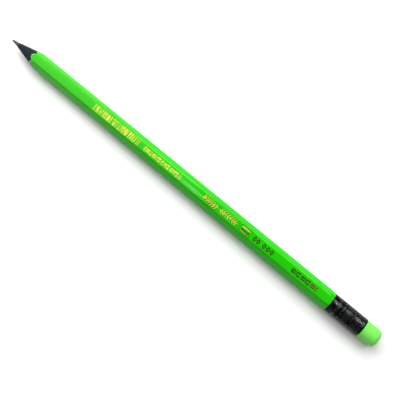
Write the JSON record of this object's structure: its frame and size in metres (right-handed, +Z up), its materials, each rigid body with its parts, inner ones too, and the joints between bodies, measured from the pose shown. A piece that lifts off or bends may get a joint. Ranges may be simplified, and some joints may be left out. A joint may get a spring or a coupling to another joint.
{
  "type": "graphite pencil",
  "caption": "Sharpened hexagonal graphite pencil with a lacquered wooden casing, an embossed metal ferrule and a rubber eraser plug.",
  "frame": {"origin": "bottom centre of the bounding box, under the middle of the pencil as it lies on a table", "axes": "+X along the pencil from the writing point to the eraser, +Z up out of the printed top flat, +Y across"},
  "size_m": [0.19, 0.0076, 0.0073],
  "materials": {
    "graphite": "semi-matt grey graphite with a faint metallic sheen and turning marks from the sharpener",
    "dyed_wood": "black-dyed softwood, matt, with cut grain on the sharpened cone",
    "glue": "dried white glue, a hairline between the slats",
    "primer": "white undercoat, seen only as a thin line at the sharpened edge",
    "lacquer": "neon green gloss lacquer",
    "gold_foil": "hot-stamped gold foil marks on the top flat, slightly worn, in the visual model only",
    "black_ink": "dark printed marks on the top flat, in the visual model only",
    "ferrule_metal": "black gloss coated aluminium with a fine embossed pattern",
    "eraser_rubber": "pale green moulded rubber, matt with a light bloom"
  },
  "bodies": {
    "root": {"graphite_core": "graphite", "casing_upper_half": "dyed_wood", "casing_lower_half": "dyed_wood", "glue_film_left": "glue", "glue_film_right": "glue", "primer_coat": "primer", "lacquer_coat": "lacquer", "ferrule": "ferrule_metal", "eraser_plug": "eraser_rubber"}
  },
  "joints": []
}
